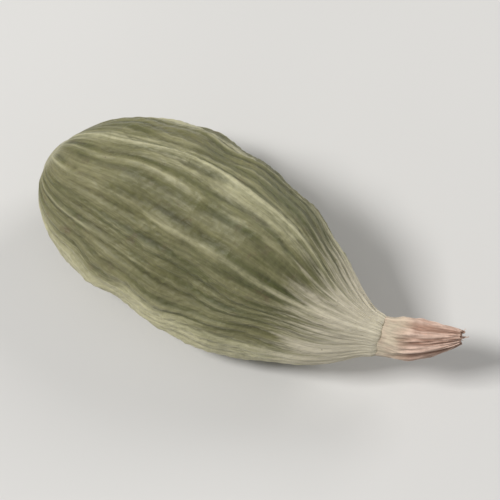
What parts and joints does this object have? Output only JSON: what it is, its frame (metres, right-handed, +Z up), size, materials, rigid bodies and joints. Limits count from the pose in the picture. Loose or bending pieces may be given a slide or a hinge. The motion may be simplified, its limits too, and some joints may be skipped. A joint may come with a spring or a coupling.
{
  "type": "green cardamom pod",
  "caption": "Dried green cardamom pod lying on one face: a ribbed husk of rounded triangular section, with a hooked beak that ends in a withered flower remnant.",
  "frame": {"origin": "middle of the flat spot that the pod rests on, at the height of the surface", "axes": "+X along the pod from the stalk end to the beak, +Z up, +Y to the side that the beak hooks towards"},
  "size_m": [0.0188, 0.0086, 0.0073],
  "materials": {
    "husk": "satin",
    "flower_remnant": "matte"
  },
  "bodies": {
    "root": {"husk": "husk", "flower_remnant": "flower_remnant"}
  },
  "joints": []
}
